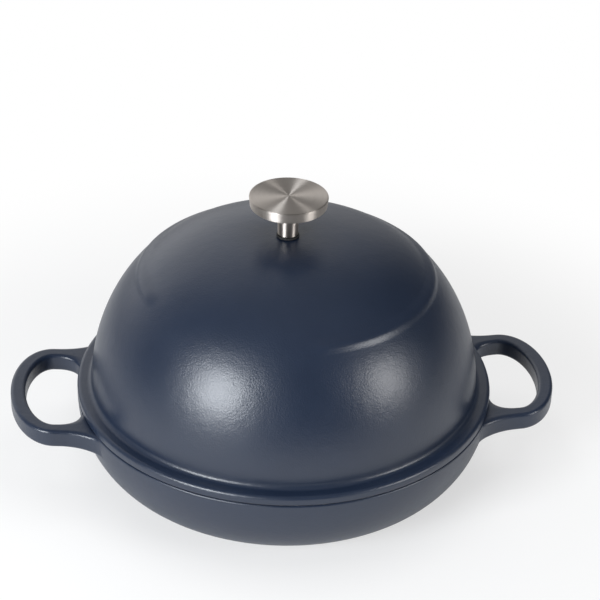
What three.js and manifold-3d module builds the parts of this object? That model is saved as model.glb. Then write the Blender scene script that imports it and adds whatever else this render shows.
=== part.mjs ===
// Round enamelled cast iron baking dish with a domed lid.
// Millimetres, +Z up. The origin is the centre of the dish's foot, and the two handles lie along X.
import * as THREE from 'three';
import { mergeVertices } from 'three/addons/utils/BufferGeometryUtils.js';
import Module from 'manifold-3d';

const wasm = await Module();
wasm.setup();

// Dish casting
const RIM_RADIUS = 133;
const RIM_WIDTH = 5.5;
const RIM_EDGE_ROUND = 1.2;
const DISH_HEIGHT = 52;
const FOOT_RADIUS = 92;
const FLOOR_THICKNESS = 5;
const INNER_FLOOR_RADIUS = 91;

// Loop handles, cast on with the dish
const HANDLE_REACH = 42.5;
const HANDLE_ARM_REACH = 15;
const HANDLE_SPAN = 97;
const HANDLE_BAR_WIDTH = 9.6;
const HANDLE_BAR_THICKNESS = 12;
const HANDLE_BAR_ROUND = 2.5;
const HANDLE_DROP = 0.2;
const HANDLE_RISE = 3.6;
const HANDLE_ROOT_DEPTH = 14;
const HANDLE_ROOT_FLARE = 22;
const HANDLE_ROOT_LENGTH = 23;
const HANDLE_ROOT_SAG = 3;

// Lid casting
const FLANGE_WIDTH = 9.4;
const FLANGE_THICKNESS = 6;
const FLANGE_TOP_ROUND = 2.4;
const FLANGE_FOOT_ROUND = 1.2;
const COVE_RADIUS = 3;
const DOME_RISE = 101;
const DOME_SIDE_POWER = 0.68;
const DOME_CROWN_POWER = 1.13;
const LID_WALL = 4.8;
const LIP_DEPTH = 3;
const LIP_TAPER = 1;

// Crown of the dome: it eases in above the side, and its edge has a low bead and a small step,
// both of which end at the bare front
const CROWN_RADIUS = 92;
const CROWN_SET_IN = 1.6;
const CROWN_EASE = 46;
const CROWN_STEP = 0.5;
const STEP_END_FADE = 10;
const BEAD_HEIGHT = 0.8;
const BEAD_FLANK = 5;
const BEAD_END_FADE = 2;
const BARE_FRONT_AZIMUTH = 238;
const BARE_FRONT_HALF_WIDTH = 38;

// Knob seat, knob and its fastening
const SEAT_PAD_RADIUS = 9;
const SEAT_BOSS_RADIUS = 12;
const SEAT_THICKNESS = 7;
const KNOB_RADIUS = 24.5;
const KNOB_THICKNESS = 7;
const KNOB_TOP_ROUND = 1.2;
const KNOB_LOWER_ROUND = 1.5;
const KNOB_THREAD_DEPTH = 4.8;
const STEM_LENGTH = 19;
const STEM_TOP_RADIUS = 6.9;
const STEM_FOOT_RADIUS = 6.3;
const GASKET_RADIUS = 7.1;
const GASKET_THICKNESS = 1.4;
const SCREW_RADIUS = 3;
const SCREW_HEAD_RADIUS = 5.6;
const SCREW_HEAD_HEIGHT = 3.8;
const SCREW_HEAD_ROUND = 2.4;
const SCREW_SLOT_LENGTH = 6.4;
const SCREW_SLOT_WIDTH = 1.3;
const SCREW_SLOT_DEPTH = 2;
const FLAT_WASHER_RADIUS = 9;
const FLAT_WASHER_THICKNESS = 1.2;
const LOCK_WASHER_RADIUS = 5.4;
const LOCK_WASHER_THICKNESS = 1.6;
const LOCK_WASHER_SPLIT = 1;

// Clearances
const SEAT_GAP = 0.3;
const LIP_CLEARANCE = 1;
const STACK_GAP = 0.3;
const THREAD_GAP = 0.3;
const SCREW_CLEARANCE = 0.5;
const CUT_MARGIN = 1;

// Facets
const CASTING_SIDES = 64;
const KNOB_SIDES = 40;
const FASTENER_SIDES = 24;
const CORNER_STEPS = 3;
const WALL_STEPS = 10;
const ARM_STEPS = 6;
const BOW_STEPS = 18;
const DOME_STEPS = 8;
const BEAD_STEPS = 6;

const rimInnerRadius = RIM_RADIUS - RIM_WIDTH;
const domeRadius = RIM_RADIUS - FLANGE_WIDTH;
const domeFoot = FLANGE_THICKNESS + COVE_RADIUS;
const seatTop = domeFoot + DOME_RISE - CROWN_SET_IN;
const seatBottom = seatTop - SEAT_THICKNESS;
const screwHoleRadius = SCREW_RADIUS + SCREW_CLEARANCE;

// A point of a turned profile: distance from the axis, then height
const at = (radius, height) => new THREE.Vector2(radius, height);

// Points on an elliptic arc about a centre, between two angles in degrees
function arc(centre, radiusAcross, radiusUp, from, to, steps) {
  const points = [];
  for (let i = 0; i <= steps; i += 1) {
    const angle = THREE.MathUtils.degToRad(THREE.MathUtils.lerp(from, to, i / steps));
    points.push(at(centre.x + radiusAcross * Math.cos(angle), centre.y + radiusUp * Math.sin(angle)));
  }
  return points;
}

// Evenly spaced values from one end to the other, both ends included
function spread(from, to, steps) {
  return Array.from({ length: steps + 1 }, (_, i) => THREE.MathUtils.lerp(from, to, i / steps));
}

// A profile turned about Z. It runs anticlockwise, from axis to axis or closed on itself.
function turned(profile, sides) {
  return new THREE.LatheGeometry(profile, sides).rotateX(Math.PI / 2);
}

// A closed ring of profile points turned about the axis
function ring(profile, sides) {
  return turned([...profile, profile[0]], sides);
}

// Triangles from rows of points. Each row joins the next, and a row closes on itself.
function skin(rows, rowsClose) {
  const across = rows[0].length;
  const index = [];
  const lastRow = rowsClose ? rows.length : rows.length - 1;
  for (let i = 0; i < lastRow; i += 1) {
    const here = i * across;
    const next = ((i + 1) % rows.length) * across;
    for (let j = 0; j < across; j += 1) {
      const k = (j + 1) % across;
      index.push(here + j, next + j, next + k, here + j, next + k, here + k);
    }
  }
  if (!rowsClose) {
    const end = (rows.length - 1) * across;
    for (let j = 1; j < across - 1; j += 1) {
      index.push(0, j, j + 1, end, end + j + 1, end + j);
    }
  }
  const geometry = new THREE.BufferGeometry().setFromPoints(rows.flat());
  geometry.setIndex(index);
  return geometry;
}

// A closed mesh as a solid for cutting and joining. Triangles that close to a line on the axis are dropped.
function solid(geometry) {
  const bare = geometry.clone();
  bare.deleteAttribute('normal');
  bare.deleteAttribute('uv');
  const merged = mergeVertices(bare);
  const corners = merged.index.array;
  const triangles = [];
  for (let i = 0; i < corners.length; i += 3) {
    const [a, b, c] = corners.slice(i, i + 3);
    if (a !== b && b !== c && c !== a) {
      triangles.push(a, b, c);
    }
  }
  const mesh = new wasm.Mesh({
    numProp: 3,
    vertProperties: new Float32Array(merged.attributes.position.array),
    triVerts: new Uint32Array(triangles),
  });
  return new wasm.Manifold(mesh);
}

// The mesh of a solid, with its faces and edges kept crisp
function geometryOf(shape) {
  const mesh = shape.getMesh();
  const geometry = new THREE.BufferGeometry();
  geometry.setAttribute('position', new THREE.BufferAttribute(mesh.vertProperties, 3));
  geometry.setIndex(new THREE.BufferAttribute(mesh.triVerts, 1));
  geometry.computeVertexNormals();
  return geometry;
}

// Dish: a bowl whose wall is a quarter ellipse from the foot to the rim
function dishOutside() {
  const wallTop = DISH_HEIGHT - RIM_EDGE_ROUND;
  const edge = at(RIM_RADIUS - RIM_EDGE_ROUND, wallTop);
  return turned([
    at(0, 0),
    ...arc(at(FOOT_RADIUS, wallTop), RIM_RADIUS - FOOT_RADIUS, wallTop, -90, 0, WALL_STEPS),
    ...arc(edge, RIM_EDGE_ROUND, RIM_EDGE_ROUND, 0, 90, CORNER_STEPS).slice(1),
    at(0, DISH_HEIGHT),
  ], CASTING_SIDES);
}

function dishInside() {
  const depth = DISH_HEIGHT - FLOOR_THICKNESS;
  const wall = rimInnerRadius - INNER_FLOOR_RADIUS;
  return turned([
    at(0, FLOOR_THICKNESS),
    ...arc(at(INNER_FLOOR_RADIUS, DISH_HEIGHT), wall, depth, -90, 0, WALL_STEPS),
    at(rimInnerRadius, DISH_HEIGHT + CUT_MARGIN),
    at(0, DISH_HEIGHT + CUT_MARGIN),
  ], CASTING_SIDES);
}

// Rounded rectangle about its own centre, across then up, anticlockwise
function barSection(width, thickness, round) {
  const across = width / 2 - round;
  const up = thickness / 2 - round;
  const corners = [[across, up, 0], [-across, up, 90], [-across, -up, 180], [across, -up, 270]];
  return corners.flatMap(([x, y, turn]) => arc(at(x, y), round, round, turn, turn + 90, CORNER_STEPS));
}

// Handle: the bar runs out along one arm, round half an ellipse and back. It widens at its roots
// and rises evenly from the wall to the far end.
function handle() {
  const halfSpan = (HANDLE_SPAN - HANDLE_BAR_WIDTH) / 2;
  const wallX = Math.sqrt(RIM_RADIUS ** 2 - halfSpan ** 2);
  const armEnd = RIM_RADIUS + HANDLE_ARM_REACH;
  const bow = RIM_RADIUS + HANDLE_REACH - HANDLE_BAR_WIDTH / 2 - armEnd;
  const armXs = spread(wallX - HANDLE_ROOT_DEPTH, armEnd, ARM_STEPS).slice(0, -1);
  const stations = [
    ...armXs.map((x) => ({ centre: at(x, -halfSpan), outward: at(0, -1) })),
    ...spread(-90, 90, BOW_STEPS).map((degrees) => {
      const angle = THREE.MathUtils.degToRad(degrees);
      const centre = at(armEnd + bow * Math.cos(angle), halfSpan * Math.sin(angle));
      return { centre, outward: at(halfSpan * Math.cos(angle), bow * Math.sin(angle)).normalize() };
    }),
    ...armXs.toReversed().map((x) => ({ centre: at(x, halfSpan), outward: at(0, 1) })),
  ];
  const top = DISH_HEIGHT - HANDLE_DROP;
  const slope = HANDLE_RISE / (RIM_RADIUS + HANDLE_REACH - wallX);
  const rows = stations.map(({ centre, outward }) => {
    const alongRoot = THREE.MathUtils.clamp((centre.x - wallX) / HANDLE_ROOT_LENGTH, 0, 1);
    const flare = (1 - alongRoot) ** 2;
    const width = HANDLE_BAR_WIDTH + HANDLE_ROOT_FLARE * flare;
    const thickness = HANDLE_BAR_THICKNESS + HANDLE_ROOT_SAG * flare;
    return barSection(width, thickness, HANDLE_BAR_ROUND).map((point) => {
      const x = centre.x + outward.x * point.x;
      const rise = slope * Math.max(0, x - wallX);
      return new THREE.Vector3(x, centre.y + outward.y * point.x, top + rise - thickness / 2 + point.y);
    });
  });
  return skin(rows, false);
}

function dish() {
  const right = handle();
  const left = handle().rotateZ(Math.PI);
  const casting = solid(dishOutside()).add(solid(right)).add(solid(left)).subtract(solid(dishInside()));
  return geometryOf(casting);
}

// Dome surface: a super-ellipse, by the angle from its foot (0) to its crown (90 degrees)
function domePoint(angle, radius, rise) {
  return at(
    radius * Math.cos(angle) ** DOME_SIDE_POWER,
    domeFoot + rise * Math.sin(angle) ** DOME_CROWN_POWER,
  );
}

function domeAngle(pointRadius, radius) {
  return Math.acos((pointRadius / radius) ** (1 / DOME_SIDE_POWER));
}

// 1 where the crown's edge is marked and 0 across the bare front, changing over a number of degrees
function markedEdge(azimuth, fade) {
  const offset = Math.abs(THREE.MathUtils.euclideanModulo(azimuth - BARE_FRONT_AZIMUTH + 180, 360) - 180);
  return THREE.MathUtils.smoothstep(offset, BARE_FRONT_HALF_WIDTH - fade, BARE_FRONT_HALF_WIDTH + fade);
}

// How far the dome stands out at a radius: the bead, less the step and the crown's slow easing in
function crownRelief(radius, azimuth) {
  const within = (inner, outer) => 1 - THREE.MathUtils.smoothstep(radius, inner, outer);
  const outerFlank = within(CROWN_RADIUS, CROWN_RADIUS + BEAD_FLANK);
  const innerFlank = within(CROWN_RADIUS - BEAD_FLANK, CROWN_RADIUS);
  const eased = within(CROWN_RADIUS - CROWN_EASE, CROWN_RADIUS);
  const bead = BEAD_HEIGHT * markedEdge(azimuth, BEAD_END_FADE) * (outerFlank - innerFlank);
  const step = CROWN_STEP * markedEdge(azimuth, STEP_END_FADE) * (innerFlank - eased);
  return bead - step - CROWN_SET_IN * eased;
}

// A point of the dome moved by the relief, along the line from the dome's centre
function relieved(point, azimuth) {
  const fromCentre = at(point.x, point.y - domeFoot).normalize();
  return point.clone().addScaledVector(fromCentre, crownRelief(point.x, azimuth));
}

// Lid: flange with a locating lip below, a cove, the dome, and a flat seat for the knob
function lid() {
  const lipOuter = rimInnerRadius - LIP_CLEARANCE;
  const innerRadius = domeRadius - LID_WALL;
  const innerRise = DOME_RISE - CROWN_SET_IN - LID_WALL;
  const padAngle = domeAngle(SEAT_PAD_RADIUS, domeRadius);
  const beadOuter = domeAngle(CROWN_RADIUS + BEAD_FLANK, domeRadius);
  const beadInner = domeAngle(CROWN_RADIUS - BEAD_FLANK, domeRadius);
  const bossAngle = domeAngle(SEAT_BOSS_RADIUS, innerRadius);
  const footEdge = at(RIM_RADIUS - FLANGE_FOOT_ROUND, FLANGE_FOOT_ROUND);
  const topEdge = at(RIM_RADIUS - FLANGE_TOP_ROUND, FLANGE_THICKNESS - FLANGE_TOP_ROUND);
  const cove = at(domeRadius + COVE_RADIUS, domeFoot);
  const flange = [
    at(innerRadius, -LIP_DEPTH),
    at(lipOuter - LIP_TAPER, -LIP_DEPTH),
    at(lipOuter, 0),
    ...arc(footEdge, FLANGE_FOOT_ROUND, FLANGE_FOOT_ROUND, -90, 0, CORNER_STEPS),
    ...arc(topEdge, FLANGE_TOP_ROUND, FLANGE_TOP_ROUND, 0, 90, CORNER_STEPS),
    ...arc(cove, COVE_RADIUS, COVE_RADIUS, 270, 180, CORNER_STEPS),
  ];
  const domeAngles = [
    ...spread(0, beadOuter, DOME_STEPS).slice(1),
    ...spread(beadOuter, beadInner, BEAD_STEPS).slice(1),
    ...spread(beadInner, padAngle, DOME_STEPS).slice(1),
  ];
  const seat = [
    at(SEAT_PAD_RADIUS, seatTop),
    at(screwHoleRadius, seatTop),
    at(screwHoleRadius, seatBottom),
    at(SEAT_BOSS_RADIUS, seatBottom),
  ];
  const inside = spread(bossAngle, 0, WALL_STEPS).map((angle) => domePoint(angle, innerRadius, innerRise));
  const rows = [];
  for (let side = 0; side < CASTING_SIDES; side += 1) {
    const azimuth = side * 360 / CASTING_SIDES;
    const dome = domeAngles.map((angle) => relieved(domePoint(angle, domeRadius, DOME_RISE), azimuth));
    const turn = THREE.MathUtils.degToRad(azimuth);
    const profile = [...flange, ...dome, ...seat, ...inside];
    rows.push(profile.map(({ x, y }) => new THREE.Vector3(x * Math.cos(turn), x * Math.sin(turn), y)));
  }
  const geometry = skin(rows, true);
  geometry.computeVertexNormals();
  return geometry;
}

// Knob pieces, upwards from the seat on the dome
const gasketBottom = seatTop + STACK_GAP;
const stemBottom = gasketBottom + GASKET_THICKNESS + STACK_GAP;
const knobBottom = stemBottom + STEM_LENGTH + STACK_GAP;
const knobTop = knobBottom + KNOB_THICKNESS;
const threadTop = knobBottom + KNOB_THREAD_DEPTH;

function knobGasket() {
  return ring([
    at(screwHoleRadius, gasketBottom),
    at(GASKET_RADIUS, gasketBottom),
    at(GASKET_RADIUS, gasketBottom + GASKET_THICKNESS),
    at(screwHoleRadius, gasketBottom + GASKET_THICKNESS),
  ], KNOB_SIDES);
}

function knobStem() {
  return ring([
    at(screwHoleRadius, stemBottom),
    at(STEM_FOOT_RADIUS, stemBottom),
    at(STEM_TOP_RADIUS, stemBottom + STEM_LENGTH),
    at(screwHoleRadius, stemBottom + STEM_LENGTH),
  ], KNOB_SIDES);
}

function knobDisc() {
  const threadRadius = SCREW_RADIUS + THREAD_GAP;
  const lowerEdge = at(KNOB_RADIUS - KNOB_LOWER_ROUND, knobBottom + KNOB_LOWER_ROUND);
  const topEdge = at(KNOB_RADIUS - KNOB_TOP_ROUND, knobTop - KNOB_TOP_ROUND);
  return turned([
    at(0, threadTop),
    at(threadRadius, threadTop),
    at(threadRadius, knobBottom),
    ...arc(lowerEdge, KNOB_LOWER_ROUND, KNOB_LOWER_ROUND, -90, 0, CORNER_STEPS),
    ...arc(topEdge, KNOB_TOP_ROUND, KNOB_TOP_ROUND, 0, 90, CORNER_STEPS),
    at(0, knobTop),
  ], KNOB_SIDES);
}

// Fastening pieces, downwards from the seat inside the lid
const flatWasherBottom = seatBottom - STACK_GAP - FLAT_WASHER_THICKNESS;
const lockWasherBottom = flatWasherBottom - STACK_GAP - LOCK_WASHER_THICKNESS;
const screwHeadTop = lockWasherBottom - STACK_GAP;
const screwHeadBottom = screwHeadTop - SCREW_HEAD_HEIGHT;

function flatWasher() {
  return ring([
    at(screwHoleRadius, flatWasherBottom),
    at(FLAT_WASHER_RADIUS, flatWasherBottom),
    at(FLAT_WASHER_RADIUS, flatWasherBottom + FLAT_WASHER_THICKNESS),
    at(screwHoleRadius, flatWasherBottom + FLAT_WASHER_THICKNESS),
  ], FASTENER_SIDES);
}

function lockWasher() {
  const whole = ring([
    at(screwHoleRadius, lockWasherBottom),
    at(LOCK_WASHER_RADIUS, lockWasherBottom),
    at(LOCK_WASHER_RADIUS, lockWasherBottom + LOCK_WASHER_THICKNESS),
    at(screwHoleRadius, lockWasherBottom + LOCK_WASHER_THICKNESS),
  ], FASTENER_SIDES);
  const reach = LOCK_WASHER_RADIUS + CUT_MARGIN;
  const split = new THREE.BoxGeometry(reach, LOCK_WASHER_SPLIT, LOCK_WASHER_THICKNESS + 2 * CUT_MARGIN);
  split.translate(reach / 2, 0, lockWasherBottom + LOCK_WASHER_THICKNESS / 2);
  return geometryOf(solid(whole).subtract(solid(split)));
}

function knobScrew() {
  const headEdge = at(SCREW_HEAD_RADIUS - SCREW_HEAD_ROUND, screwHeadBottom + SCREW_HEAD_ROUND);
  const blank = turned([
    at(0, screwHeadBottom),
    ...arc(headEdge, SCREW_HEAD_ROUND, SCREW_HEAD_ROUND, -90, 0, CORNER_STEPS),
    at(SCREW_HEAD_RADIUS, screwHeadTop),
    at(SCREW_RADIUS, screwHeadTop),
    at(SCREW_RADIUS, threadTop - THREAD_GAP),
    at(0, threadTop - THREAD_GAP),
  ], FASTENER_SIDES);
  const slotDepth = SCREW_SLOT_DEPTH + CUT_MARGIN;
  const slot = new THREE.BoxGeometry(SCREW_SLOT_LENGTH, SCREW_SLOT_WIDTH, slotDepth);
  slot.translate(0, 0, screwHeadBottom - CUT_MARGIN + slotDepth / 2);
  const cross = slot.clone().rotateZ(Math.PI / 2);
  return geometryOf(solid(blank).subtract(solid(slot)).subtract(solid(cross)));
}

const enamel = new THREE.MeshStandardMaterial({ color: 0x2c3345, roughness: 0.45, metalness: 0 });
const steel = new THREE.MeshStandardMaterial({ color: 0xb9b3ac, roughness: 0.32, metalness: 1 });
const rubber = new THREE.MeshStandardMaterial({ color: 0x121214, roughness: 0.7, metalness: 0 });

function piece(name, geometry, material) {
  const mesh = new THREE.Mesh(geometry, material);
  mesh.name = name;
  return mesh;
}

// The lid stands on the rim of the dish, and the knob set goes with it
const lidGroup = new THREE.Group();
lidGroup.position.z = DISH_HEIGHT + SEAT_GAP;
lidGroup.add(
  piece('lid', lid(), enamel),
  piece('knob_gasket', knobGasket(), rubber),
  piece('knob_stem', knobStem(), steel),
  piece('knob_disc', knobDisc(), steel),
  piece('flat_washer', flatWasher(), steel),
  piece('lock_washer', lockWasher(), steel),
  piece('knob_screw', knobScrew(), steel),
);

const bakingDish = new THREE.Group();
bakingDish.add(piece('dish', dish(), enamel), lidGroup);

export default bakingDish;
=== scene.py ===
"""A round enamelled cast iron baking dish with loop handles and a tall domed lid with a steel knob.

Metres, +Z up. The origin is the centre of the dish's foot, and the two handles lie along X.
Each piece is a surface worked out on a grid of points, rows by columns, in place of one solid.
"""
import math

import bpy
import numpy as np
from mathutils import Matrix, Vector


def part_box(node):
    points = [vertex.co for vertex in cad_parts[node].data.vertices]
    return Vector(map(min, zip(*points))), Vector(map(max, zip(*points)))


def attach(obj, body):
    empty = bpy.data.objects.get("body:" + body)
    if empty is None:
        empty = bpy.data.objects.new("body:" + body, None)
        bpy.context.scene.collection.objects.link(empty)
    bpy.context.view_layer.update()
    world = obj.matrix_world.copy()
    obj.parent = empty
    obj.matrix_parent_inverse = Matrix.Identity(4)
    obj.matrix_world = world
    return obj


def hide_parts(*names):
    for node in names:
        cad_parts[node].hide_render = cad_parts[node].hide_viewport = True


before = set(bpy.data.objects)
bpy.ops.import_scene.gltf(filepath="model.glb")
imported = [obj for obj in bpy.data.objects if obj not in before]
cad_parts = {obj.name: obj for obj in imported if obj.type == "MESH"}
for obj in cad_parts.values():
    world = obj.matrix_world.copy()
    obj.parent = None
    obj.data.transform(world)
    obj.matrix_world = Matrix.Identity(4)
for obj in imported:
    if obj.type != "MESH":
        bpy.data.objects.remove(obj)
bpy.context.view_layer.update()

MM = 0.001

# Boxes of the solids
dish_low, dish_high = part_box("dish")
lid_low, lid_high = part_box("lid")
disc_low, disc_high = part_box("knob_disc")
stem_low, stem_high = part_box("knob_stem")
gasket_low, gasket_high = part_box("knob_gasket")
screw_low, screw_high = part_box("knob_screw")
flat_low, flat_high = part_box("flat_washer")
lock_low, lock_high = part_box("lock_washer")

# Dish casting
RIM_WIDTH = 5.5 * MM
RIM_EDGE_ROUND = 1.2 * MM
RIM_INNER_ROUND = 0.9 * MM
FOOT_RADIUS = 92 * MM
FLOOR_THICKNESS = 5 * MM
INNER_FLOOR_RADIUS = 91 * MM
LIP_DEPTH = 3 * MM
SEAT_GAP = 0.3 * MM
flange_bottom = lid_low.z + LIP_DEPTH
rim_radius = dish_high.y
rim_top = flange_bottom - SEAT_GAP
rim_inner_radius = rim_radius - RIM_WIDTH
wall_top = rim_top - RIM_EDGE_ROUND

# Loop handles
HANDLE_ARM_REACH = 15 * MM
HANDLE_SPAN = 97 * MM
HANDLE_BAR_WIDTH = 9.6 * MM
HANDLE_BAR_THICKNESS = 12 * MM
HANDLE_BAR_ROUND = 2.3 * MM
HANDLE_DROP = 0.2 * MM
ROOT_INNER_SPREAD = 17 * MM
ROOT_OUTER_SPREAD = 10.5 * MM
ROOT_INNER_LENGTH = 19.5 * MM
ROOT_OUTER_LENGTH = 22 * MM
ROOT_SAG = 3 * MM
ROOT_BURIED = 2.5 * MM
handle_top = rim_top - HANDLE_DROP
handle_rise = dish_high.z - handle_top

# Lid casting
FLANGE_WIDTH = 9.4 * MM
FLANGE_THICKNESS = 6 * MM
FLANGE_TOP_ROUND = 2.4 * MM
FLANGE_FOOT_ROUND = 1.2 * MM
COVE_RADIUS = 3 * MM
DOME_SIDE_POWER = 0.68
DOME_CROWN_POWER = 1.13
LID_WALL = 4.8 * MM
LIP_TAPER = 1 * MM
LIP_CLEARANCE = 1 * MM
LIP_ROUND = 0.8 * MM
LIP_ROUND_END = 345
SEAT_PAD_RADIUS = 9 * MM
SEAT_BOSS_RADIUS = 12 * MM
SEAT_THICKNESS = 7 * MM
SEAT_ROUND = 0.5 * MM
SCREW_HOLE_RADIUS = 3.5 * MM
dome_radius = rim_radius - FLANGE_WIDTH
dome_foot = flange_bottom + FLANGE_THICKNESS + COVE_RADIUS

# Crown of the dome: it eases in above the side, with a low bead and a small step along its edge
CROWN_RADIUS = 92 * MM
CROWN_SET_IN = 1.6 * MM
CROWN_EASE = 46 * MM
CROWN_STEP = 0.5 * MM
STEP_END_FADE = 10
BEAD_HEIGHT = 0.8 * MM
BEAD_OUTER_FLANK = 3.4 * MM
BEAD_INNER_FLANK = 6 * MM
BEAD_END_FADE = 4
BARE_FRONT_AZIMUTH = 238
BARE_FRONT_HALF_WIDTH = 38
dome_rise = lid_high.z - dome_foot + CROWN_SET_IN

# Degrees round an edge at which the navy enamel ends and the black begins
RIM_NAVY_END = 75
RIM_BLACK_START = 80
FLANGE_NAVY_START = -80

# Knob and fastening
KNOB_TOP_ROUND = 0.7 * MM
KNOB_LOWER_ROUND = 1.5 * MM
KNOB_TAPER = 0.5 * MM
KNOB_THREAD_RADIUS = 3.3 * MM
KNOB_THREAD_DEPTH = 4.8 * MM
STEM_FOOT_RADIUS = 6.3 * MM
STEM_EDGE_ROUND = 0.35 * MM
GASKET_ROUND = 0.5 * MM
SCREW_RADIUS = 3 * MM
SCREW_HEAD_HEIGHT = 3.8 * MM
SCREW_HEAD_ROUND = 2.4 * MM
SCREW_EDGE_ROUND = 0.3 * MM
SCREW_TIP_CHAMFER = 0.6 * MM
THREAD_PITCH = 1 * MM
THREAD_DEPTH = 0.45 * MM
THREAD_RUN_OUT = 2 * MM
RECESS_LENGTH = 6.4 * MM
RECESS_WIDTH = 1.3 * MM
RECESS_DEPTH = 2 * MM
RECESS_EDGE = 0.3 * MM
WASHER_ROUND = 0.25 * MM
LOCK_WASHER_SPLIT = 1 * MM

# Radius of the small fan that closes a flat face
DISH_HUB = 10 * MM
KNOB_HUB = 0.4 * MM
SCREW_FACE_HUB = 0.15 * MM
SCREW_TIP_HUB = 0.3 * MM

# How finely the surfaces are cut: columns round the axis, then rows along the profile
CASTING_SIDES = 256
LID_SIDES = 448
STEEL_SIDES = 160
FASTENER_SIDES = 96
EDGE_ROWS = 8
FACE_ROWS = 8
WALL_ROWS = 48
ROOT_ROWS = 15
ARM_ROWS = 8
BOW_ROWS = 73
DOME_ROWS = (30, 31, 34)
HOLLOW_ROWS = 44
KNOB_TOP_ROWS = 16
RECESS_ROWS = 26
ROWS_PER_THREAD = 8

# A straight run keeps its end rows this close to its ends, and at most this share of its length
FLAT_END = 0.25 * MM
FLAT_END_SHARE = 0.2
SAME_POINT = 0.001 * MM


def smooth(value, start, end):
    """An S-shaped rise: 0 up to start, 1 from end on, 3 t squared less 2 t cubed between them."""
    share = np.clip((value - start) / (end - start), 0, 1)
    return share * share * (3 - 2 * share)


def arc(centre, across, up, start, end, count):
    """Elliptic arc about a centre: across times the cosine and up times the sine of even degrees."""
    angle = np.radians(np.linspace(start, end, count))
    return np.stack([centre[0] + across * np.cos(angle), centre[1] + up * np.sin(angle)], axis=1)


def rounded(centre, radius, start, end, count=EDGE_ROWS):
    """Circular arc of an eased edge, from one angle in degrees to another."""
    return arc(centre, radius, radius, start, end, count)


def straight(start, end, count=2):
    """A straight run, with one more point close to each end so that shading stays flat between."""
    start, end = np.array(start, float), np.array(end, float)
    edge = min(FLAT_END / np.linalg.norm(end - start), FLAT_END_SHARE)
    shares = np.concatenate([[0], np.linspace(edge, 1 - edge, count), [1]])
    return start + (end - start) * shares[:, None]


def outline(*runs):
    """Runs of points set end to end, with the point that two of them share kept once."""
    points = np.concatenate(runs)
    steps = np.linalg.norm(np.diff(points, axis=0), axis=1)
    return points[np.concatenate([[True], steps > SAME_POINT])]


def even_turn(sides):
    """Even angles once round, in radians."""
    return np.linspace(0, 2 * math.pi, sides, endpoint=False)


def carried_round(radius, height, angle):
    """Points at radius r, height z and angle a: r cos a, r sin a, z, on a grid of the three."""
    return np.stack([radius * np.cos(angle), radius * np.sin(angle), height + 0 * angle], axis=-1)


def turned(profile, sides):
    """A profile of radius and height carried once round Z, one row for each of its points."""
    return carried_round(profile[:, :1], profile[:, 1:], even_turn(sides))


def run_length(profile):
    """Distance along a profile from its first point to each point."""
    return np.concatenate([[0], np.cumsum(np.linalg.norm(np.diff(profile, axis=0), axis=1))])


def shell(points, rows_close=False, poles=(None, None), lining=None, crease=()):
    """A grid of points, rows by columns, whose columns close, joined to its neighbours by quads.

    A pole closes the first or last row to one point, by a fan of triangles. lining gives a number
    for each row, and crease names the rows along which the shading breaks. Each corner also has a
    place in a flat map: its share of the turn, and its distance along the rows.
    """
    rows, columns = points.shape[:2]
    index = np.arange(rows * columns).reshape(rows, columns)
    index = np.concatenate([index, index[:1]]) if rows_close else index
    index = np.concatenate([index, index[:, :1]], axis=1)
    share = np.arange(columns + 1) / columns
    along = run_length(points[:, 0])
    along = np.concatenate([along, along[-1:]]) if rows_close else along
    place = np.stack(np.broadcast_arrays(share, along[:, None]), axis=-1)

    def quads(grid):
        corners = [grid[:-1, :-1], grid[:-1, 1:], grid[1:, 1:], grid[1:, :-1]]
        return np.stack(corners, axis=2).reshape(-1, 4, *grid.shape[2:])

    row_lining = np.zeros(rows) if lining is None else np.asarray(lining, float)
    made = {
        "points": points.reshape(-1, 3),
        "quads": quads(index),
        "quad_places": quads(place),
        "fans": np.zeros((0, 3), int),
        "fan_places": np.zeros((0, 3, 2)),
        "lining": np.repeat(row_lining, columns),
        "crease": np.repeat(np.isin(np.arange(rows), [row % rows for row in crease]), columns),
    }
    for row, side, pole in zip((0, -1), (-1, 1), poles):
        if pole is None:
            continue
        ends = np.stack([index[row, :-1], index[row, 1:]], axis=1)[:, ::side]
        centre = np.full((columns, 1), len(made["points"]))
        fan = np.concatenate([centre, ends], axis=1)
        end_places = np.stack([place[row, :-1], place[row, 1:]], axis=1)[:, ::side]
        reach = side * np.linalg.norm(points[row, 0] - np.array(pole))
        centre_place = end_places.mean(axis=1, keepdims=True) + [0, reach]
        fan_place = np.concatenate([centre_place, end_places], axis=1)
        made["fans"] = np.concatenate([made["fans"], fan])
        made["fan_places"] = np.concatenate([made["fan_places"], fan_place])
        made["points"] = np.concatenate([made["points"], [pole]])
        made["lining"] = np.append(made["lining"], row_lining[row])
        made["crease"] = np.append(made["crease"], False)
    return made


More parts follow.
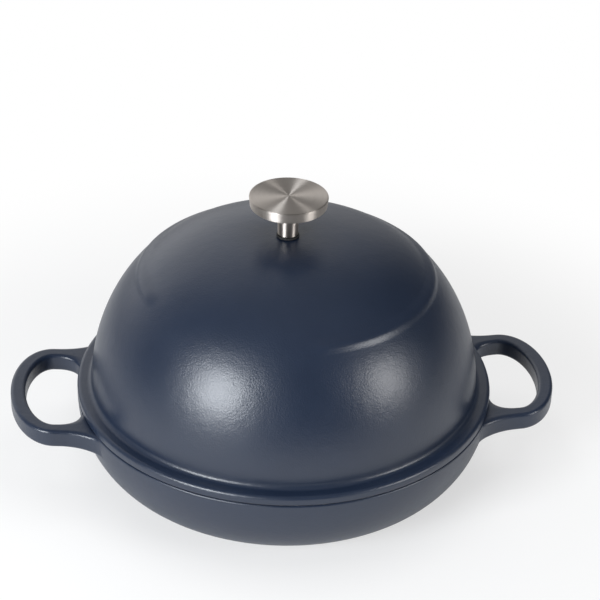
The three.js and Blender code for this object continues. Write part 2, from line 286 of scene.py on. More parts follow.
def piece(name, shells, material, body, solid):
    """One smooth mesh object from shells of points, riding on a body in place of a solid."""
    first = np.cumsum([0] + [len(part["points"]) for part in shells])
    points = np.concatenate([part["points"] for part in shells])
    quads = np.concatenate([part["quads"] + start for part, start in zip(shells, first)])
    fans = np.concatenate([part["fans"] + start for part, start in zip(shells, first)])
    corners = np.concatenate([quads.ravel(), fans.ravel()])
    starts = np.concatenate([np.arange(len(quads)) * 4, quads.size + np.arange(len(fans)) * 3])
    places = [part["quad_places"].reshape(-1, 2) for part in shells]
    places += [part["fan_places"].reshape(-1, 2) for part in shells]
    lining = np.concatenate([part["lining"] for part in shells])
    crease = np.concatenate([part["crease"] for part in shells])

    mesh = bpy.data.meshes.new(name)
    mesh.vertices.add(len(points))
    mesh.vertices.foreach_set("co", points.astype(np.float32).ravel())
    mesh.loops.add(len(corners))
    mesh.loops.foreach_set("vertex_index", corners.astype(np.int32))
    mesh.polygons.add(len(starts))
    mesh.polygons.foreach_set("loop_start", starts.astype(np.int32))
    mesh.polygons.foreach_set("use_smooth", np.ones(len(starts), bool))
    mesh.update(calc_edges=True)

    flat_map = mesh.uv_layers.new(name="turned")
    flat_map.data.foreach_set("uv", np.concatenate(places).astype(np.float32).ravel())
    lined = mesh.attributes.new("lining", "FLOAT", "POINT")
    lined.data.foreach_set("value", lining.astype(np.float32))
    ends = np.zeros(len(mesh.edges) * 2, np.int32)
    mesh.edges.foreach_get("vertices", ends)
    sharp = mesh.attributes.new("sharp_edge", "BOOLEAN", "EDGE")
    sharp.data.foreach_set("value", crease[ends.reshape(-1, 2)].all(axis=1))
    mesh.validate()
    mesh.materials.append(material)

    made = bpy.data.objects.new(name, mesh)
    bpy.context.scene.collection.objects.link(made)
    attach(made, body)
    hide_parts(solid)
    return made


# Dish

def bowl():
    """Turned bowl: flat foot, quarter ellipse wall, rounded rim, and the same inside to a flat floor."""
    edge = (rim_radius - RIM_EDGE_ROUND, wall_top)
    inner_edge = (rim_inner_radius + RIM_INNER_ROUND, rim_top - RIM_INNER_ROUND)
    inner_width = rim_inner_radius - INNER_FLOOR_RADIUS
    inner_depth = rim_top - FLOOR_THICKNESS
    inner_start = -math.degrees(math.asin(RIM_INNER_ROUND / inner_depth))
    outside = outline(
        straight((DISH_HUB, 0), (FOOT_RADIUS, 0), FACE_ROWS),
        arc((FOOT_RADIUS, wall_top), rim_radius - FOOT_RADIUS, wall_top, -90, 0, WALL_ROWS),
        rounded(edge, RIM_EDGE_ROUND, 0, RIM_NAVY_END),
    )
    inside = outline(
        rounded(edge, RIM_EDGE_ROUND, RIM_BLACK_START, 90, 2),
        straight((edge[0], rim_top), (inner_edge[0], rim_top)),
        rounded(inner_edge, RIM_INNER_ROUND, 90, 180),
        arc((INNER_FLOOR_RADIUS, rim_top), inner_width, inner_depth, inner_start, -90, WALL_ROWS),
        straight((INNER_FLOOR_RADIUS, FLOOR_THICKNESS), (DISH_HUB, FLOOR_THICKNESS), FACE_ROWS),
    )
    lining = np.concatenate([np.zeros(len(outside)), np.ones(len(inside))])
    points = turned(np.concatenate([outside, inside]), CASTING_SIDES)
    return shell(points, poles=((0, 0, 0), (0, 0, FLOOR_THICKNESS)), lining=lining)


def wall_radius(height):
    """Outside radius of the dish at a height: the wall's ellipse, then the round of the rim's edge."""
    drop = np.clip((wall_top - height) / wall_top, 0, 1)
    ellipse = FOOT_RADIUS + (rim_radius - FOOT_RADIUS) * np.sqrt(1 - drop ** 2)
    above = np.clip((height - wall_top) / RIM_EDGE_ROUND, 0, 1)
    return ellipse - RIM_EDGE_ROUND * (1 - np.sqrt(1 - above ** 2))


def bar_section():
    """Rounded rectangle of the handle bar: distance outwards, depth below its top, run clockwise."""
    across = HANDLE_BAR_WIDTH / 2 - HANDLE_BAR_ROUND
    low = HANDLE_BAR_THICKNESS - HANDLE_BAR_ROUND
    corners = [
        ((across, -HANDLE_BAR_ROUND), 90, 0),
        ((across, -low), 0, -90),
        ((-across, -low), -90, -180),
        ((-across, -HANDLE_BAR_ROUND), 180, 90),
    ]
    rounds = [rounded(centre, HANDLE_BAR_ROUND, *turn) for centre, *turn in corners]
    flats = [straight(rounds[i - 1][-1], rounds[i][0]) for i in (1, 2, 3, 0)]
    return outline(*[run for pair in zip(rounds, flats) for run in pair])[:-1]


def handle_loop():
    """Bar swept out along one arm, round half an ellipse and back, its roots spread over the wall.

    At a root angle t from 90 degrees at the wall to 0 at the bar, the section is wider by the
    spread times 1 - cos t and stands off the wall by the root's length times 1 - sin t, so it
    leaves the wall as a fillet. The whole loop rises evenly from the wall to its far end.
    """
    outward, depth = bar_section().T
    half_width = HANDLE_BAR_WIDTH / 2
    half_span = HANDLE_SPAN / 2 - half_width
    arm_end = rim_radius + HANDLE_ARM_REACH
    bow_reach = dish_high.x - half_width - arm_end

    root_turn = np.radians(np.linspace(90, 0, ROOT_ROWS))[:, None]
    spread = 1 - np.cos(root_turn)
    side = outward / half_width
    reach = np.where(side > 0, ROOT_OUTER_SPREAD, ROOT_INNER_SPREAD)
    y = -(half_span + outward + reach * side * spread)
    z = handle_top + depth * (1 + ROOT_SAG / HANDLE_BAR_THICKNESS * spread)
    root_length = ROOT_INNER_LENGTH + (ROOT_OUTER_LENGTH - ROOT_INNER_LENGTH) * (side + 1) / 2
    wall = np.sqrt(wall_radius(z) ** 2 - y ** 2)
    root = np.stack([wall + root_length * (1 - np.sin(root_turn)), y, z], axis=-1)
    buried = root[:1] - [ROOT_BURIED, 0, 0]

    share = np.linspace(0, 1, ARM_ROWS)[1:-1, None, None]
    root_tip = root[-1]
    arm_tip = np.stack([np.full_like(outward, arm_end), root_tip[:, 1], root_tip[:, 2]], axis=-1)
    arm = root_tip + (arm_tip - root_tip) * share
    near = np.concatenate([buried, root, arm])
    far = near[::-1] * [1, -1, 1]

    turn = np.radians(np.linspace(-90, 90, BOW_ROWS))[:, None]
    facing = np.stack([half_span * np.cos(turn), bow_reach * np.sin(turn)])
    facing = facing / np.linalg.norm(facing, axis=0)
    bow = np.stack([
        arm_end + bow_reach * np.cos(turn) + outward * facing[0],
        half_span * np.sin(turn) + outward * facing[1],
        handle_top + depth + 0 * turn,
    ], axis=-1)

    points = np.concatenate([near, bow, far])
    wall_x = math.sqrt(rim_radius ** 2 - half_span ** 2)
    beyond_wall = np.maximum(points[..., 0] - wall_x, 0)
    points[..., 2] += handle_rise * beyond_wall / (dish_high.x - wall_x)
    return points


def handle(side):
    """The loop on one side: 1 is along +X, and -1 is the same loop turned half round Z."""
    points = handle_loop() * [side, side, 1]
    return shell(points, poles=(points[0].mean(axis=0), points[-1].mean(axis=0)), crease=(1, -2))


# Lid

def dome(angle, radius, rise):
    """Super-ellipse: the radius times a power of the cosine, the rise times a power of the sine."""
    return np.stack([
        radius * np.cos(angle) ** DOME_SIDE_POWER,
        dome_foot + rise * np.sin(angle) ** DOME_CROWN_POWER,
    ], axis=-1)


def dome_angle(point_radius, radius):
    """The angle at which the super-ellipse has a given radius."""
    return np.arccos((point_radius / radius) ** (1 / DOME_SIDE_POWER))


def marked_edge(azimuth, fade):
    """1 where the crown's edge is marked, 0 across the bare front, with a fade in degrees between."""
    offset = np.abs((azimuth - BARE_FRONT_AZIMUTH + 180) % 360 - 180)
    return smooth(offset, BARE_FRONT_HALF_WIDTH - fade, BARE_FRONT_HALF_WIDTH + fade)


def crown_relief(radius, azimuth):
    """How far the dome stands out at a radius and an azimuth in degrees.

    A bead rises over one flank and falls over the other, each an S-shaped run. Inside it lies a
    small step, and from there the crown eases in over a long run. The bead and the step end at
    the bare front.
    """
    outer_flank = 1 - smooth(radius, CROWN_RADIUS, CROWN_RADIUS + BEAD_OUTER_FLANK)
    inner_flank = 1 - smooth(radius, CROWN_RADIUS - BEAD_INNER_FLANK, CROWN_RADIUS)
    eased = 1 - smooth(radius, CROWN_RADIUS - CROWN_EASE, CROWN_RADIUS)
    bead = BEAD_HEIGHT * marked_edge(azimuth, BEAD_END_FADE) * (outer_flank - inner_flank)
    step = CROWN_STEP * marked_edge(azimuth, STEP_END_FADE) * (inner_flank - eased)
    return bead - step - CROWN_SET_IN * eased


def lid():
    """Turned lid: lip, flange, cove, dome, knob seat with its screw hole, then the hollow inside.

    The dome's points are moved along the line from the dome's centre by the crown's relief.
    """
    inner_radius = dome_radius - LID_WALL
    inner_rise = dome_rise - CROWN_SET_IN - LID_WALL
    lip_radius = rim_inner_radius - LIP_CLEARANCE
    lip_bottom = lid_low.z
    lip_inner = (inner_radius + LIP_ROUND, lip_bottom + LIP_ROUND)
    lip_outer = (lip_radius - LIP_TAPER - LIP_ROUND, lip_bottom + LIP_ROUND)
    lip_edge = rounded(lip_outer, LIP_ROUND, 270, LIP_ROUND_END)
    flange_top = flange_bottom + FLANGE_THICKNESS
    foot_edge = (rim_radius - FLANGE_FOOT_ROUND, flange_bottom + FLANGE_FOOT_ROUND)
    top_edge = (rim_radius - FLANGE_TOP_ROUND, flange_top - FLANGE_TOP_ROUND)
    cove = (dome_radius + COVE_RADIUS, dome_foot)
    seat_top = lid_high.z
    seat_bottom = seat_top - SEAT_THICKNESS
    hole_edge = SCREW_HOLE_RADIUS + SEAT_ROUND
    hole_top = seat_top - SEAT_ROUND
    hole_bottom = seat_bottom + SEAT_ROUND

    underside = outline(
        rounded(lip_inner, LIP_ROUND, 180, 270),
        straight((lip_inner[0], lip_bottom), (lip_outer[0], lip_bottom)),
        lip_edge,
        straight(lip_edge[-1], (lip_radius, flange_bottom)),
        straight((lip_radius, flange_bottom), (foot_edge[0], flange_bottom)),
    )
    flange = outline(
        rounded(foot_edge, FLANGE_FOOT_ROUND, FLANGE_NAVY_START, 0),
        rounded(top_edge, FLANGE_TOP_ROUND, 0, 90),
        straight((top_edge[0], flange_top), (cove[0], flange_top)),
        rounded(cove, COVE_RADIUS, 270, 180),
    )
    bead = CROWN_RADIUS + BEAD_OUTER_FLANK, CROWN_RADIUS - BEAD_INNER_FLANK
    stops = dome_angle(np.array([dome_radius, *bead, SEAT_PAD_RADIUS]), dome_radius)
    runs = [np.linspace(*ends)[1:] for ends in zip(stops, stops[1:], DOME_ROWS)]
    crown = dome(np.concatenate(runs), dome_radius, dome_rise)
    seat = outline(
        straight((SEAT_PAD_RADIUS - SEAT_ROUND, seat_top), (hole_edge, seat_top)),
        rounded((hole_edge, hole_top), SEAT_ROUND, 90, 180),
        straight((SCREW_HOLE_RADIUS, hole_top), (SCREW_HOLE_RADIUS, hole_bottom)),
    )
    boss_angle = dome_angle(SEAT_BOSS_RADIUS, inner_radius)
    inside = outline(
        rounded((hole_edge, hole_bottom), SEAT_ROUND, 180, 270),
        straight((hole_edge, seat_bottom), (SEAT_BOSS_RADIUS - SEAT_ROUND, seat_bottom)),
        dome(np.linspace(boss_angle, 0, HOLLOW_ROWS), inner_radius, inner_rise),
    )

    points = turned(np.concatenate([underside, flange, crown, seat, inside]), LID_SIDES)
    first = len(underside) + len(flange)
    on_dome = slice(first, first + len(crown))
    relief = crown_relief(crown[:, :1], np.degrees(even_turn(LID_SIDES)))
    from_centre = points[on_dome] - [0, 0, dome_foot]
    from_centre /= np.linalg.norm(from_centre, axis=-1, keepdims=True)
    points[on_dome] += from_centre * relief[..., None]

    outer_rows = len(flange) + len(crown) + len(seat)
    lining = [np.ones(len(underside)), np.zeros(outer_rows), np.ones(len(inside))]
    return shell(points, rows_close=True, lining=np.concatenate(lining))


# Knob and fastening

def knob_disc():
    """Turned disc: blind hole for the screw, flat underside, side that widens upwards, crisp top."""
    hole_top = disc_low.z + KNOB_THREAD_DEPTH
    radius = disc_high.x
    lower = (radius - KNOB_TAPER - KNOB_LOWER_ROUND, disc_low.z + KNOB_LOWER_ROUND)
    top = (radius - KNOB_TOP_ROUND, disc_high.z - KNOB_TOP_ROUND)
    profile = outline(
        straight((KNOB_THREAD_RADIUS, hole_top), (KNOB_THREAD_RADIUS, disc_low.z)),
        straight((KNOB_THREAD_RADIUS, disc_low.z), (lower[0], disc_low.z), FACE_ROWS),
        rounded(lower, KNOB_LOWER_ROUND, -90, 0),
        straight((radius - KNOB_TAPER, lower[1]), (radius, top[1]), FACE_ROWS),
        rounded(top, KNOB_TOP_ROUND, 0, 90),
        straight((top[0], disc_high.z), (KNOB_HUB, disc_high.z), KNOB_TOP_ROWS),
    )
    return shell(turned(profile, STEEL_SIDES), poles=((0, 0, hole_top), (0, 0, disc_high.z)))


def knob_stem():
    """Turned sleeve with a bore: it widens a little from its foot to the disc, and its ends are eased."""
    foot = (STEM_FOOT_RADIUS - STEM_EDGE_ROUND, stem_low.z + STEM_EDGE_ROUND)
    head = (stem_high.x - STEM_EDGE_ROUND, stem_high.z - STEM_EDGE_ROUND)
    bore_foot = (SCREW_HOLE_RADIUS, stem_low.z)
    bore_head = (SCREW_HOLE_RADIUS, stem_high.z)
    profile = outline(
        straight(bore_foot, (foot[0], stem_low.z)),
        rounded(foot, STEM_EDGE_ROUND, -90, 0),
        straight((STEM_FOOT_RADIUS, foot[1]), (stem_high.x, head[1]), FACE_ROWS),
        rounded(head, STEM_EDGE_ROUND, 0, 90),
        straight((head[0], stem_high.z), bore_head),
        straight(bore_head, bore_foot, FACE_ROWS)[:-1],
    )
    return shell(turned(profile, STEEL_SIDES), rows_close=True)


def ring_section(radius, low, high, ease):
    """Section of a ring round the screw with its four corners eased, from the bore's foot."""
    inner, outer = SCREW_HOLE_RADIUS + ease, radius - ease
    return outline(
        rounded((inner, low + ease), ease, 180, 270),
        straight((inner, low), (outer, low)),
        rounded((outer, low + ease), ease, 270, 360),
        straight((radius, low + ease), (radius, high - ease)),
        rounded((outer, high - ease), ease, 0, 90),
        straight((outer, high), (inner, high)),
        rounded((inner, high - ease), ease, 90, 180),
    )


def flat_ring(low, high, ease, sides):
    """Ring section turned about Z, filling a solid's box."""
    return shell(turned(ring_section(high.x, low.z, high.z, ease), sides), rows_close=True)


def split_ring():
    """Ring section carried round Z from one side of its split to the other, each end closed."""
    radius, height = ring_section(lock_high.y, lock_low.z, lock_high.z, WASHER_ROUND).T
    half_split = LOCK_WASHER_SPLIT / (SCREW_HOLE_RADIUS + lock_high.y)
    angle = np.linspace(2 * math.pi - half_split, half_split, FASTENER_SIDES)[:, None]
    points = carried_round(radius, height, angle)
    return shell(points, poles=(points[0].mean(axis=0), points[-1].mean(axis=0)), crease=(0, -1))


def pan_head_screw():
    """Turned pan head and shank, with a cross pushed into the head's face.

    The shank's radius falls by half the thread's depth times 1 - cos of the turn from a helix.
    """
    low, tip = screw_low.z, screw_high.z
    head_top = low + SCREW_HEAD_HEIGHT
    head_radius = screw_high.x
    face = head_radius - SCREW_HEAD_ROUND
    shoulder = (head_radius - SCREW_EDGE_ROUND, head_top - SCREW_EDGE_ROUND)
    shank_start = head_top + SCREW_TIP_CHAMFER
    shank_end = tip - SCREW_TIP_CHAMFER
    shank_rows = int((tip - shank_start) / THREAD_PITCH * ROWS_PER_THREAD)
    head = outline(
        straight((SCREW_FACE_HUB, low), (face, low), RECESS_ROWS),
        rounded((face, low + SCREW_HEAD_ROUND), SCREW_HEAD_ROUND, -90, 0),
        straight((head_radius, low + SCREW_HEAD_ROUND), (head_radius, shoulder[1])),
        rounded(shoulder, SCREW_EDGE_ROUND, 0, 90),
        straight((shoulder[0], head_top), (SCREW_RADIUS, head_top)),
    )
    shank_height = np.linspace(shank_start, shank_end, shank_rows)[:, None]
    shank = np.concatenate([np.full_like(shank_height, SCREW_RADIUS), shank_height], axis=1)
    end = straight((SCREW_RADIUS - SCREW_TIP_CHAMFER, tip), (SCREW_TIP_HUB, tip))
    points = turned(np.concatenate([head, shank, end]), FASTENER_SIDES)

    helix_turn = 2 * math.pi * shank_height / THREAD_PITCH - even_turn(FASTENER_SIDES)
    depth = THREAD_DEPTH / 2 * (1 - np.cos(helix_turn))
    run_out = smooth(shank_height, shank_start, shank_start + THREAD_RUN_OUT)
    threaded = slice(len(head), len(head) + shank_rows)
    points[threaded, :, :2] *= (1 - run_out * depth / SCREW_RADIUS)[..., None]

    on_head = points[:len(head)]
    x, y = np.abs(on_head[..., 0]), np.abs(on_head[..., 1])
    slot_along_x = np.maximum(x - RECESS_LENGTH / 2, y - RECESS_WIDTH / 2)
    slot_along_y = np.maximum(y - RECESS_LENGTH / 2, x - RECESS_WIDTH / 2)
    in_cross = 1 - smooth(np.minimum(slot_along_x, slot_along_y), -RECESS_EDGE, 0)
    on_face = on_head[..., 2] < shoulder[1]
    on_head[..., 2] += RECESS_DEPTH * in_cross * on_face
    return shell(points, poles=((0, 0, low + RECESS_DEPTH), (0, 0, tip)))


# Shader nodes

def node(tree, kind, inputs=None, **settings):
    """A new shader node: inputs maps socket names or numbers to a value or another node's output."""
    made = tree.nodes.new(kind)
    for name, value in settings.items():
        setattr(made, name, value)
    for name, value in (inputs or {}).items():
        if isinstance(value, bpy.types.NodeSocket):
            tree.links.new(value, made.inputs[name])
        else:
            made.inputs[name].default_value = value
    return made


def maths(tree, operation, first, second=0.0):
    """One arithmetic step."""
    return node(tree, "ShaderNodeMath", {0: first, 1: second}, operation=operation).outputs[0]


def mixed(tree, share, first, second):
    """A colour between two, by a share from 0 to 1."""
    inputs = {0: share, 6: first, 7: second}
    return node(tree, "ShaderNodeMix", inputs, data_type="RGBA").outputs[2]


def ranged(tree, value, low, high):
    """A share from 0 to 1 spread between two values."""
    inputs = {"Value": value, "To Min": low, "To Max": high}
    return node(tree, "ShaderNodeMapRange", inputs).outputs[0]


def climbing(tree, value, start, end, least=0.0, most=1.0):
    """An S-shaped climb, from least where the value is start to most where it is end."""
    inputs = {"Value": value, "From Min": start, "From Max": end, "To Min": least, "To Max": most}
    return node(tree, "ShaderNodeMapRange", inputs, interpolation_type="SMOOTHSTEP").outputs[0]


def noise(tree, vector, scale, detail):
    """Soft noise about one half, with features about one over the scale across."""
    inputs = {"Vector": vector, "Scale": scale, "Detail": detail}
    return node(tree, "ShaderNodeTexNoise", inputs).outputs[0]


def bumped(tree, height, distance):
    """The shading normal over a height field, whose full range is a distance."""
    inputs = {"Height": height, "Distance": distance, "Strength": 1.0}
    return node(tree, "ShaderNodeBump", inputs).outputs[0]


def effect(name, inputs, outputs):
    """An empty shader node group with named sockets, its inputs' node and its outputs' node."""
    tree = bpy.data.node_groups.new(name, "ShaderNodeTree")
    for socket, kind in inputs.items():
        tree.interface.new_socket(name=socket, in_out="INPUT", socket_type=kind)
    for socket in outputs:
        tree.interface.new_socket(name=socket, in_out="OUTPUT", socket_type="NodeSocketFloat")
    return tree, node(tree, "NodeGroupInput").outputs, node(tree, "NodeGroupOutput").inputs


def placed(tree, group, inputs):
    """The outputs of a node group placed in a material, with its inputs set."""
    return node(tree, "ShaderNodeGroup", inputs, node_tree=group).outputs


def new_material(name):
    """A node material, its tree, its Principled shader and its object coordinates."""
    material = bpy.data.materials.new(name)
    material.use_nodes = True
    tree = material.node_tree
    place = node(tree, "ShaderNodeTexCoord").outputs["Object"]
    return material, tree, tree.nodes["Principled BSDF"], place


# Effects that two finishes share

WAVE_TO_GRAIN = 0.16
SPECK_TO_GRAIN = 0.6


def moulded_skin():
    """Surface of something poured or moulded: fine grain, slow waves, and a broad drift of tone."""
    sizes = {
        "Vector": "NodeSocketVector",
        "Grain Scale": "NodeSocketFloat",
        "Drift Scale": "NodeSocketFloat",
    }
    tree, given, out = effect("moulded_skin", sizes, ("Height", "Drift", "Speck"))
    place, grain_scale = given["Vector"], given["Grain Scale"]
    wave_scale = maths(tree, "MULTIPLY", grain_scale, WAVE_TO_GRAIN)
    speck_scale = maths(tree, "MULTIPLY", grain_scale, SPECK_TO_GRAIN)
    grain = noise(tree, place, grain_scale, detail=1.5)
    wave = noise(tree, place, wave_scale, detail=1.0)
    tree.links.new(maths(tree, "ADD", grain, wave), out["Height"])
    tree.links.new(noise(tree, place, given["Drift Scale"], detail=3.0), out["Drift"])
    tree.links.new(noise(tree, place, speck_scale, detail=3.0), out["Speck"])
    return tree


MARK_METRES_PER_RADIAN = 0.0006
DRIFT_TO_LINES = 0.15


def turned_marks():
    """Fine rings left by turning: noise fast along radius and height, and slow round the axis."""
    sizes = {"Vector": "NodeSocketVector", "Line Scale": "NodeSocketFloat"}
    tree, given, out = effect("turned_marks", sizes, ("Lines", "Drift"))
    x, y, z = node(tree, "ShaderNodeSeparateXYZ", {0: given["Vector"]}).outputs
    x_squared = maths(tree, "MULTIPLY", x, x)
    y_squared = maths(tree, "MULTIPLY", y, y)
    radius = maths(tree, "SQRT", maths(tree, "ADD", x_squared, y_squared))
    turn = maths(tree, "MULTIPLY", maths(tree, "ARCTAN2", y, x), MARK_METRES_PER_RADIAN)
    rings = node(tree, "ShaderNodeCombineXYZ", {0: radius, 1: z, 2: turn}).outputs[0]
    drift_scale = maths(tree, "MULTIPLY", given["Line Scale"], DRIFT_TO_LINES)
    tree.links.new(noise(tree, rings, given["Line Scale"], detail=4.0), out["Lines"])
    tree.links.new(noise(tree, rings, drift_scale, detail=2.0), out["Drift"])
    return tree


# Finishes

NAVY_DEEP = (0.0092, 0.0172, 0.0378, 1)
NAVY_LIGHT = (0.0124, 0.0222, 0.047, 1)
NAVY_ROUGHNESS = (0.31, 0.38)
LINING_DARK = (0.009, 0.0066, 0.0052, 1)
LINING_LIGHT = (0.025, 0.0185, 0.0145, 1)
LINING_ROUGHNESS = (0.6, 0.76)
LINING_COARSENESS = 2.0
LINING_FRAY = 0.5
LINING_EDGE = (0.35, 0.65)
ENAMEL_GRAIN = 1000.0
ENAMEL_DRIFT = 38.0
ENAMEL_DEPTH = 0.105 * MM
ENAMEL_IOR = 1.65


def enamelled_iron(skin):
    """Satin navy enamel outside, matt black enamel on the rim and inside, parted by a frayed edge."""
    material, tree, shader, place = new_material("enamelled_iron")
    scales = {"Vector": place, "Grain Scale": ENAMEL_GRAIN, "Drift Scale": ENAMEL_DRIFT}
    face = placed(tree, skin, scales)
    lining = node(tree, "ShaderNodeAttribute", attribute_name="lining").outputs["Fac"]
    fray = maths(tree, "MULTIPLY", maths(tree, "SUBTRACT", face["Speck"], 0.5), LINING_FRAY)
    inside = climbing(tree, maths(tree, "ADD", lining, fray), *LINING_EDGE)

    navy = mixed(tree, face["Drift"], NAVY_DEEP, NAVY_LIGHT)
    black = mixed(tree, face["Speck"], LINING_DARK, LINING_LIGHT)
    tree.links.new(mixed(tree, inside, navy, black), shader.inputs["Base Color"])
    satin = ranged(tree, face["Drift"], *NAVY_ROUGHNESS)
    matt = ranged(tree, face["Speck"], *LINING_ROUGHNESS)
    rough = node(tree, "ShaderNodeMix", {0: inside, 2: satin, 3: matt}).outputs[0]
    tree.links.new(rough, shader.inputs["Roughness"])
    coarseness = maths(tree, "MULTIPLY", inside, LINING_COARSENESS)
    coarse = maths(tree, "MULTIPLY", face["Speck"], coarseness)
    height = maths(tree, "ADD", face["Height"], coarse)
    tree.links.new(bumped(tree, height, ENAMEL_DEPTH), shader.inputs["Normal"])
    shader.inputs["IOR"].default_value = ENAMEL_IOR
    return material


STEEL_DARK = (0.53, 0.485, 0.445, 1)
STEEL_LIGHT = (0.64, 0.59, 0.545, 1)
STEEL_ROUGHNESS = (0.42, 0.5)
STEEL_LINES = 5200.0
STEEL_LINE_DEPTH = 0.0015 * MM
STEEL_STRETCH = 0.96
QUARTER_TURN = 0.25


def brushed_steel(marks):
    """Steel turned and brushed in rings, so that its highlights spread across the rings."""
    material, tree, shader, place = new_material("brushed_steel")
    ring = placed(tree, marks, {"Vector": place, "Line Scale": STEEL_LINES})
    colour = mixed(tree, ring["Lines"], STEEL_DARK, STEEL_LIGHT)
    tangent = node(tree, "ShaderNodeTangent", direction_type="UV_MAP", uv_map="turned").outputs[0]
    tree.links.new(colour, shader.inputs["Base Color"])
    tree.links.new(ranged(tree, ring["Drift"], *STEEL_ROUGHNESS), shader.inputs["Roughness"])
    tree.links.new(bumped(tree, ring["Lines"], STEEL_LINE_DEPTH), shader.inputs["Normal"])
    tree.links.new(tangent, shader.inputs["Tangent"])
    shader.inputs["Metallic"].default_value = 1.0
    shader.inputs["Anisotropic"].default_value = STEEL_STRETCH
    shader.inputs["Anisotropic Rotation"].default_value = QUARTER_TURN
    return material


SCREW_DARK = (0.45, 0.45, 0.45, 1)
SCREW_LIGHT = (0.62, 0.62, 0.61, 1)
SCREW_ROUGHNESS = (0.22, 0.4)
SCREW_LINES = 2600.0
SCREW_LINE_DEPTH = 0.01 * MM


def screw_steel(marks):
    """Bright plain steel of the fastening, with faint turning marks."""
    material, tree, shader, place = new_material("screw_steel")
    ring = placed(tree, marks, {"Vector": place, "Line Scale": SCREW_LINES})
    colour = mixed(tree, ring["Drift"], SCREW_DARK, SCREW_LIGHT)
    tree.links.new(colour, shader.inputs["Base Color"])
    tree.links.new(ranged(tree, ring["Lines"], *SCREW_ROUGHNESS), shader.inputs["Roughness"])
    tree.links.new(bumped(tree, ring["Lines"], SCREW_LINE_DEPTH), shader.inputs["Normal"])
    shader.inputs["Metallic"].default_value = 1.0
    return material


RUBBER_DARK = (0.007, 0.007, 0.0075, 1)
RUBBER_LIGHT = (0.016, 0.016, 0.017, 1)
RUBBER_ROUGHNESS = (0.58, 0.8)
RUBBER_GRAIN = 2400.0
RUBBER_DRIFT = 260.0
RUBBER_DEPTH = 0.02 * MM


def gasket_rubber(skin):
    """Matt black rubber with a fine moulded grain."""
    material, tree, shader, place = new_material("gasket_rubber")
    scales = {"Vector": place, "Grain Scale": RUBBER_GRAIN, "Drift Scale": RUBBER_DRIFT}
    face = placed(tree, skin, scales)
    colour = mixed(tree, face["Drift"], RUBBER_DARK, RUBBER_LIGHT)
    tree.links.new(colour, shader.inputs["Base Color"])
    tree.links.new(ranged(tree, face["Speck"], *RUBBER_ROUGHNESS), shader.inputs["Roughness"])
    tree.links.new(bumped(tree, face["Height"], RUBBER_DEPTH), shader.inputs["Normal"])
    return material


def build_pieces():
    """Every piece of the object, in its finish."""
    skin, marks = moulded_skin(), turned_marks()
    enamel, steel = enamelled_iron(skin), brushed_steel(marks)
    plain_steel, rubber = screw_steel(marks), gasket_rubber(skin)
    castings = [bowl(), handle(1), handle(-1)]
    gasket = flat_ring(gasket_low, gasket_high, GASKET_ROUND, STEEL_SIDES)
    washer = flat_ring(flat_low, flat_high, WASHER_ROUND, FASTENER_SIDES)
    piece("dish_casting", castings, enamel, "dish", "dish")
    piece("lid_casting", [lid()], enamel, "lid", "lid")
    piece("knob_grip", [knob_disc()], steel, "lid", "knob_disc")
    piece("knob_sleeve", [knob_stem()], steel, "lid", "knob_stem")
    piece("stem_gasket", [gasket], rubber, "lid", "knob_gasket")
    piece("lid_screw", [pan_head_screw()], plain_steel, "lid", "knob_screw")
    piece("screw_washer", [washer], plain_steel, "lid", "flat_washer")
    piece("split_washer", [split_ring()], plain_steel, "lid", "lock_washer")


# Floor, light and camera

FLOOR_HALF = 6.0
FLOOR_GAP = 0.2 * MM
FLOOR_NEAR = (0.92, 0.92, 0.92, 1)
FLOOR_FAR = (0.45, 0.45, 0.45, 1)
FLOOR_GLOW = 0.58
SHADOW_REACH = 0.2
WHITE_FROM = 0.42
TABLE_REACH = 0.6
MIRRORED_WHITE = 0.25
BACKDROP_WHITE = (1, 1, 1, 1)


def seen_directly(tree):
    """1 for rays from the camera or through a clear surface, a part of 1 off a glossy one, else 0."""
    path = node(tree, "ShaderNodeLightPath").outputs
    mirrored = maths(tree, "MULTIPLY", path["Is Glossy Ray"], MIRRORED_WHITE)
    clear = maths(tree, "MAXIMUM", path["Is Camera Ray"], path["Is Transmission Ray"])
    return maths(tree, "MAXIMUM", clear, mirrored)


def make_floor():
    """A floor that is pale under the dish, keeps its shadow and, seen directly, runs out to white."""
    corners = [(-1, -1), (1, -1), (1, 1), (-1, 1)]
    points = [(x * FLOOR_HALF, y * FLOOR_HALF, -FLOOR_GAP) for x, y in corners]
    mesh = bpy.data.meshes.new("floor")
    mesh.from_pydata(points, [], [(0, 1, 2, 3)])
    floor = bpy.data.objects.new("floor", mesh)
    bpy.context.scene.collection.objects.link(floor)

    material, tree, shader, place = new_material("pale_floor")
    distance = node(tree, "ShaderNodeVectorMath", {0: place}, operation="LENGTH").outputs["Value"]
    colour = mixed(tree, climbing(tree, distance, WHITE_FROM, TABLE_REACH), FLOOR_NEAR, FLOOR_FAR)
    tree.links.new(colour, shader.inputs["Base Color"])
    shader.inputs["Roughness"].default_value = 1.0
    shader.inputs["Specular IOR Level"].default_value = 0.0
    whiteness = climbing(tree, distance, SHADOW_REACH, WHITE_FROM, least=FLOOR_GLOW)
    share = maths(tree, "MULTIPLY", whiteness, seen_directly(tree))
    white = node(tree, "ShaderNodeEmission", {"Color": BACKDROP_WHITE, "Strength": 1.0}).outputs[0]
    both = node(tree, "ShaderNodeMixShader", {0: share, 1: shader.outputs[0], 2: white}).outputs[0]
    tree.links.new(both, tree.nodes["Material Output"].inputs["Surface"])
    mesh.materials.append(material)


ROOM_LIGHT = 0.07
CEILING_LIGHT = 0.12
CEILING_EDGE = 0.6
GLOW_LIGHT = 1.2
GLOW_TOWARDS = (-0.36, 0.93, 0.1)
GLOW_EDGE = 0.35


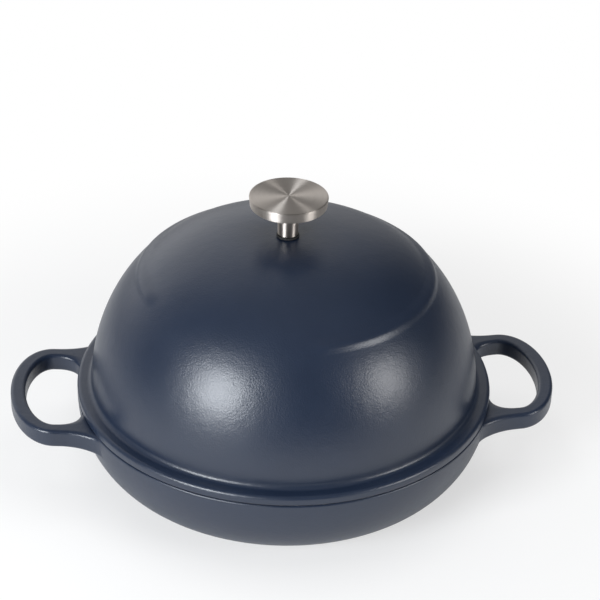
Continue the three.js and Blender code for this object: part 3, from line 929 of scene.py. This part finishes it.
def light_the_room():
    """World light: a dim room, a little more straight above, and a broad glow low behind on the left.

    The glow is the square of how far a direction's cosine with the glow's own lies above its edge.
    """
    world = bpy.data.worlds.new("studio")
    bpy.context.scene.world = world
    world.use_nodes = True
    tree = world.node_tree
    direction = node(tree, "ShaderNodeTexCoord").outputs["Generated"]
    height = node(tree, "ShaderNodeSeparateXYZ", {0: direction}).outputs[2]
    above = climbing(tree, height, CEILING_EDGE, 1.0, most=CEILING_LIGHT)
    both = {0: direction, 1: GLOW_TOWARDS}
    cosine = node(tree, "ShaderNodeVectorMath", both, operation="DOT_PRODUCT").outputs["Value"]
    share = node(tree, "ShaderNodeMapRange", {"Value": cosine, "From Min": GLOW_EDGE}).outputs[0]
    glow = maths(tree, "MULTIPLY", maths(tree, "MULTIPLY", share, share), GLOW_LIGHT)
    level = maths(tree, "ADD", maths(tree, "ADD", above, glow), ROOM_LIGHT)
    camera_ray = node(tree, "ShaderNodeLightPath").outputs["Is Camera Ray"]
    background = tree.nodes["Background"].inputs
    tree.links.new(maths(tree, "MAXIMUM", level, camera_ray), background["Strength"])
    background["Color"].default_value = BACKDROP_WHITE


LIGHT_CENTRE = (0, 0, 0.12)
COOL = (0.92, 0.96, 1)
PLAIN = (1, 1, 1)
LAMPS = {
    "softbox_left": {
        "towards": (-0.673, -0.667, 0.32),
        "distance": 1.4,
        "width": 0.62,
        "power": 20,
        "colour": COOL,
        "mirrored": True,
    },
    "softbox_right": {
        "towards": (0.814, -0.518, 0.289),
        "distance": 1.4,
        "width": 0.54,
        "power": 6.8,
        "colour": PLAIN,
        "mirrored": True,
    },
    "ceiling_bounce": {
        "towards": (0, 0.1, 1),
        "distance": 2.1,
        "width": 2.0,
        "power": 20,
        "colour": PLAIN,
        "mirrored": False,
    },
}


def hang_lamps():
    """Two softboxes low in front of the dish, left and right, and a wide ceiling bounce that fills."""
    for name, lamp in LAMPS.items():
        light = bpy.data.lights.new(name, "AREA")
        light.shape = "SQUARE"
        light.size = lamp["width"]
        light.energy = lamp["power"]
        light.color = lamp["colour"]
        hung = bpy.data.objects.new(name, light)
        towards = Vector(lamp["towards"]).normalized()
        hung.location = towards * lamp["distance"] + Vector(LIGHT_CENTRE)
        hung.rotation_euler = towards.to_track_quat("Z", "Y").to_euler()
        hung.visible_glossy = lamp["mirrored"]
        bpy.context.scene.collection.objects.link(hung)


CAMERA_PLACE = (-0.1167, -1.0483, 0.7521)
CAMERA_HEADING = 6.83
CAMERA_PITCH = 31.15
CAMERA_ROLL = 1.82
CAMERA_LENS = 117
CAMERA_SENSOR = 36


def set_camera():
    """Camera by its heading east of +Y, its pitch below the horizon and its roll, in degrees."""
    heading, pitch, roll = np.radians([CAMERA_HEADING, CAMERA_PITCH, CAMERA_ROLL])
    level = Vector((math.cos(heading), -math.sin(heading), 0))
    forward = Vector((math.sin(heading), math.cos(heading), 0))
    ahead = forward * math.cos(pitch) - Vector((0, 0, math.sin(pitch)))
    raised = level.cross(ahead)
    right = level * math.cos(roll) + raised * math.sin(roll)
    up = raised * math.cos(roll) - level * math.sin(roll)
    lens = bpy.data.cameras.new("photo_camera")
    lens.lens = CAMERA_LENS
    lens.sensor_width = CAMERA_SENSOR
    camera = bpy.data.objects.new("photo_camera", lens)
    turn = Matrix((right, up, -ahead)).transposed().to_4x4()
    camera.matrix_world = Matrix.Translation(CAMERA_PLACE) @ turn
    bpy.context.scene.collection.objects.link(camera)
    bpy.context.scene.camera = camera


build_pieces()
make_floor()
light_the_room()
hang_lamps()
set_camera()
bpy.context.scene.view_settings.view_transform = "Standard"
